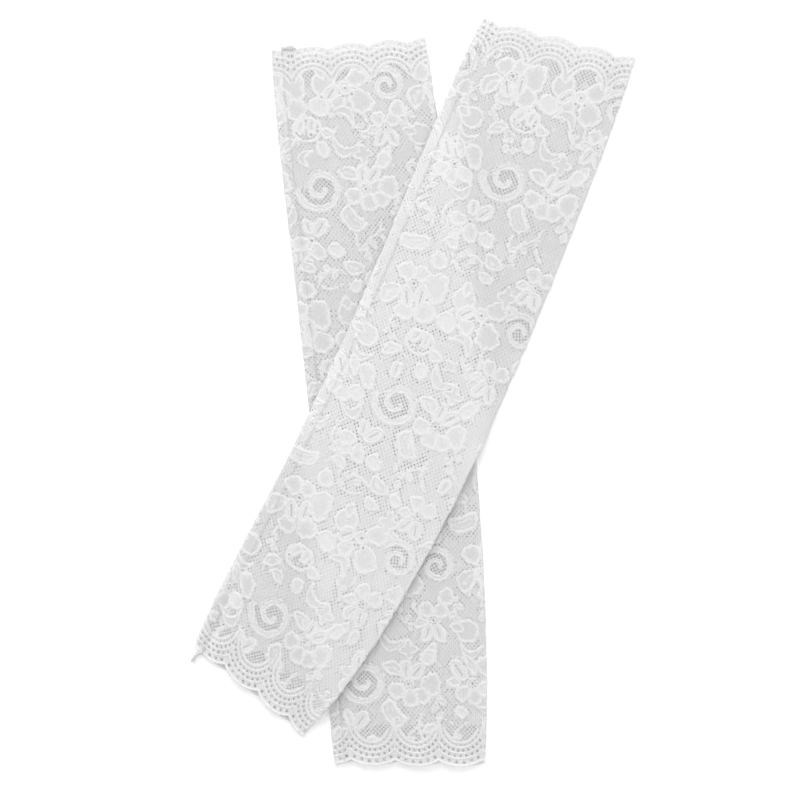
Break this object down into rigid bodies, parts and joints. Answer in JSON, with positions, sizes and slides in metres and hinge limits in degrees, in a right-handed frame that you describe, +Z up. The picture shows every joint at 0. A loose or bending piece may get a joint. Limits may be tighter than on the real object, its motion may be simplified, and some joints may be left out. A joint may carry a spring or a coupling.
{
  "type": "lace wedding gloves",
  "caption": "Long fingerless stretch-lace gloves laid flat and crossed, each an open tube with scalloped mouths and a side seam.",
  "frame": {"origin": "on the surface the gloves lie on, under the centre of the pair's bounding box", "axes": "+Y along the pair, from the wrist mouths towards the elbow mouths; +X to the right; +Z up"},
  "size_m": [0.2444, 0.4156, 0.0138],
  "materials": {
    "lace": "matte",
    "lace_edging": "matte",
    "seam_thread": "matte"
  },
  "bodies": {
    "lower_glove": {"lower_top_face": "lace", "lower_under_face": "lace", "lower_left_fold": "lace", "lower_right_fold": "lace", "lower_elbow_scallops_top": "lace_edging", "lower_elbow_scallops_under": "lace_edging", "lower_wrist_scallops_top": "lace_edging", "lower_wrist_scallops_under": "lace_edging", "lower_side_seam": "seam_thread", "lower_elbow_tail": "seam_thread"},
    "upper_glove": {"upper_top_face_elbow": "lace", "upper_top_face_crossing": "lace", "upper_top_face_wrist": "lace", "upper_under_face_elbow": "lace", "upper_under_face_crossing": "lace", "upper_under_face_wrist": "lace", "upper_left_fold": "lace", "upper_right_fold": "lace", "upper_elbow_scallops_top": "lace_edging", "upper_elbow_scallops_under": "lace_edging", "upper_wrist_scallops_top": "lace_edging", "upper_wrist_scallops_under": "lace_edging", "upper_side_seam": "seam_thread", "upper_wrist_tail": "seam_thread"}
  },
  "joints": [
    {"name": "upper_glove_lift", "type": "slide", "parent": "lower_glove", "child": "upper_glove", "axis": [0, 0, 1], "range_m": [0, 0.06]}
  ]
}
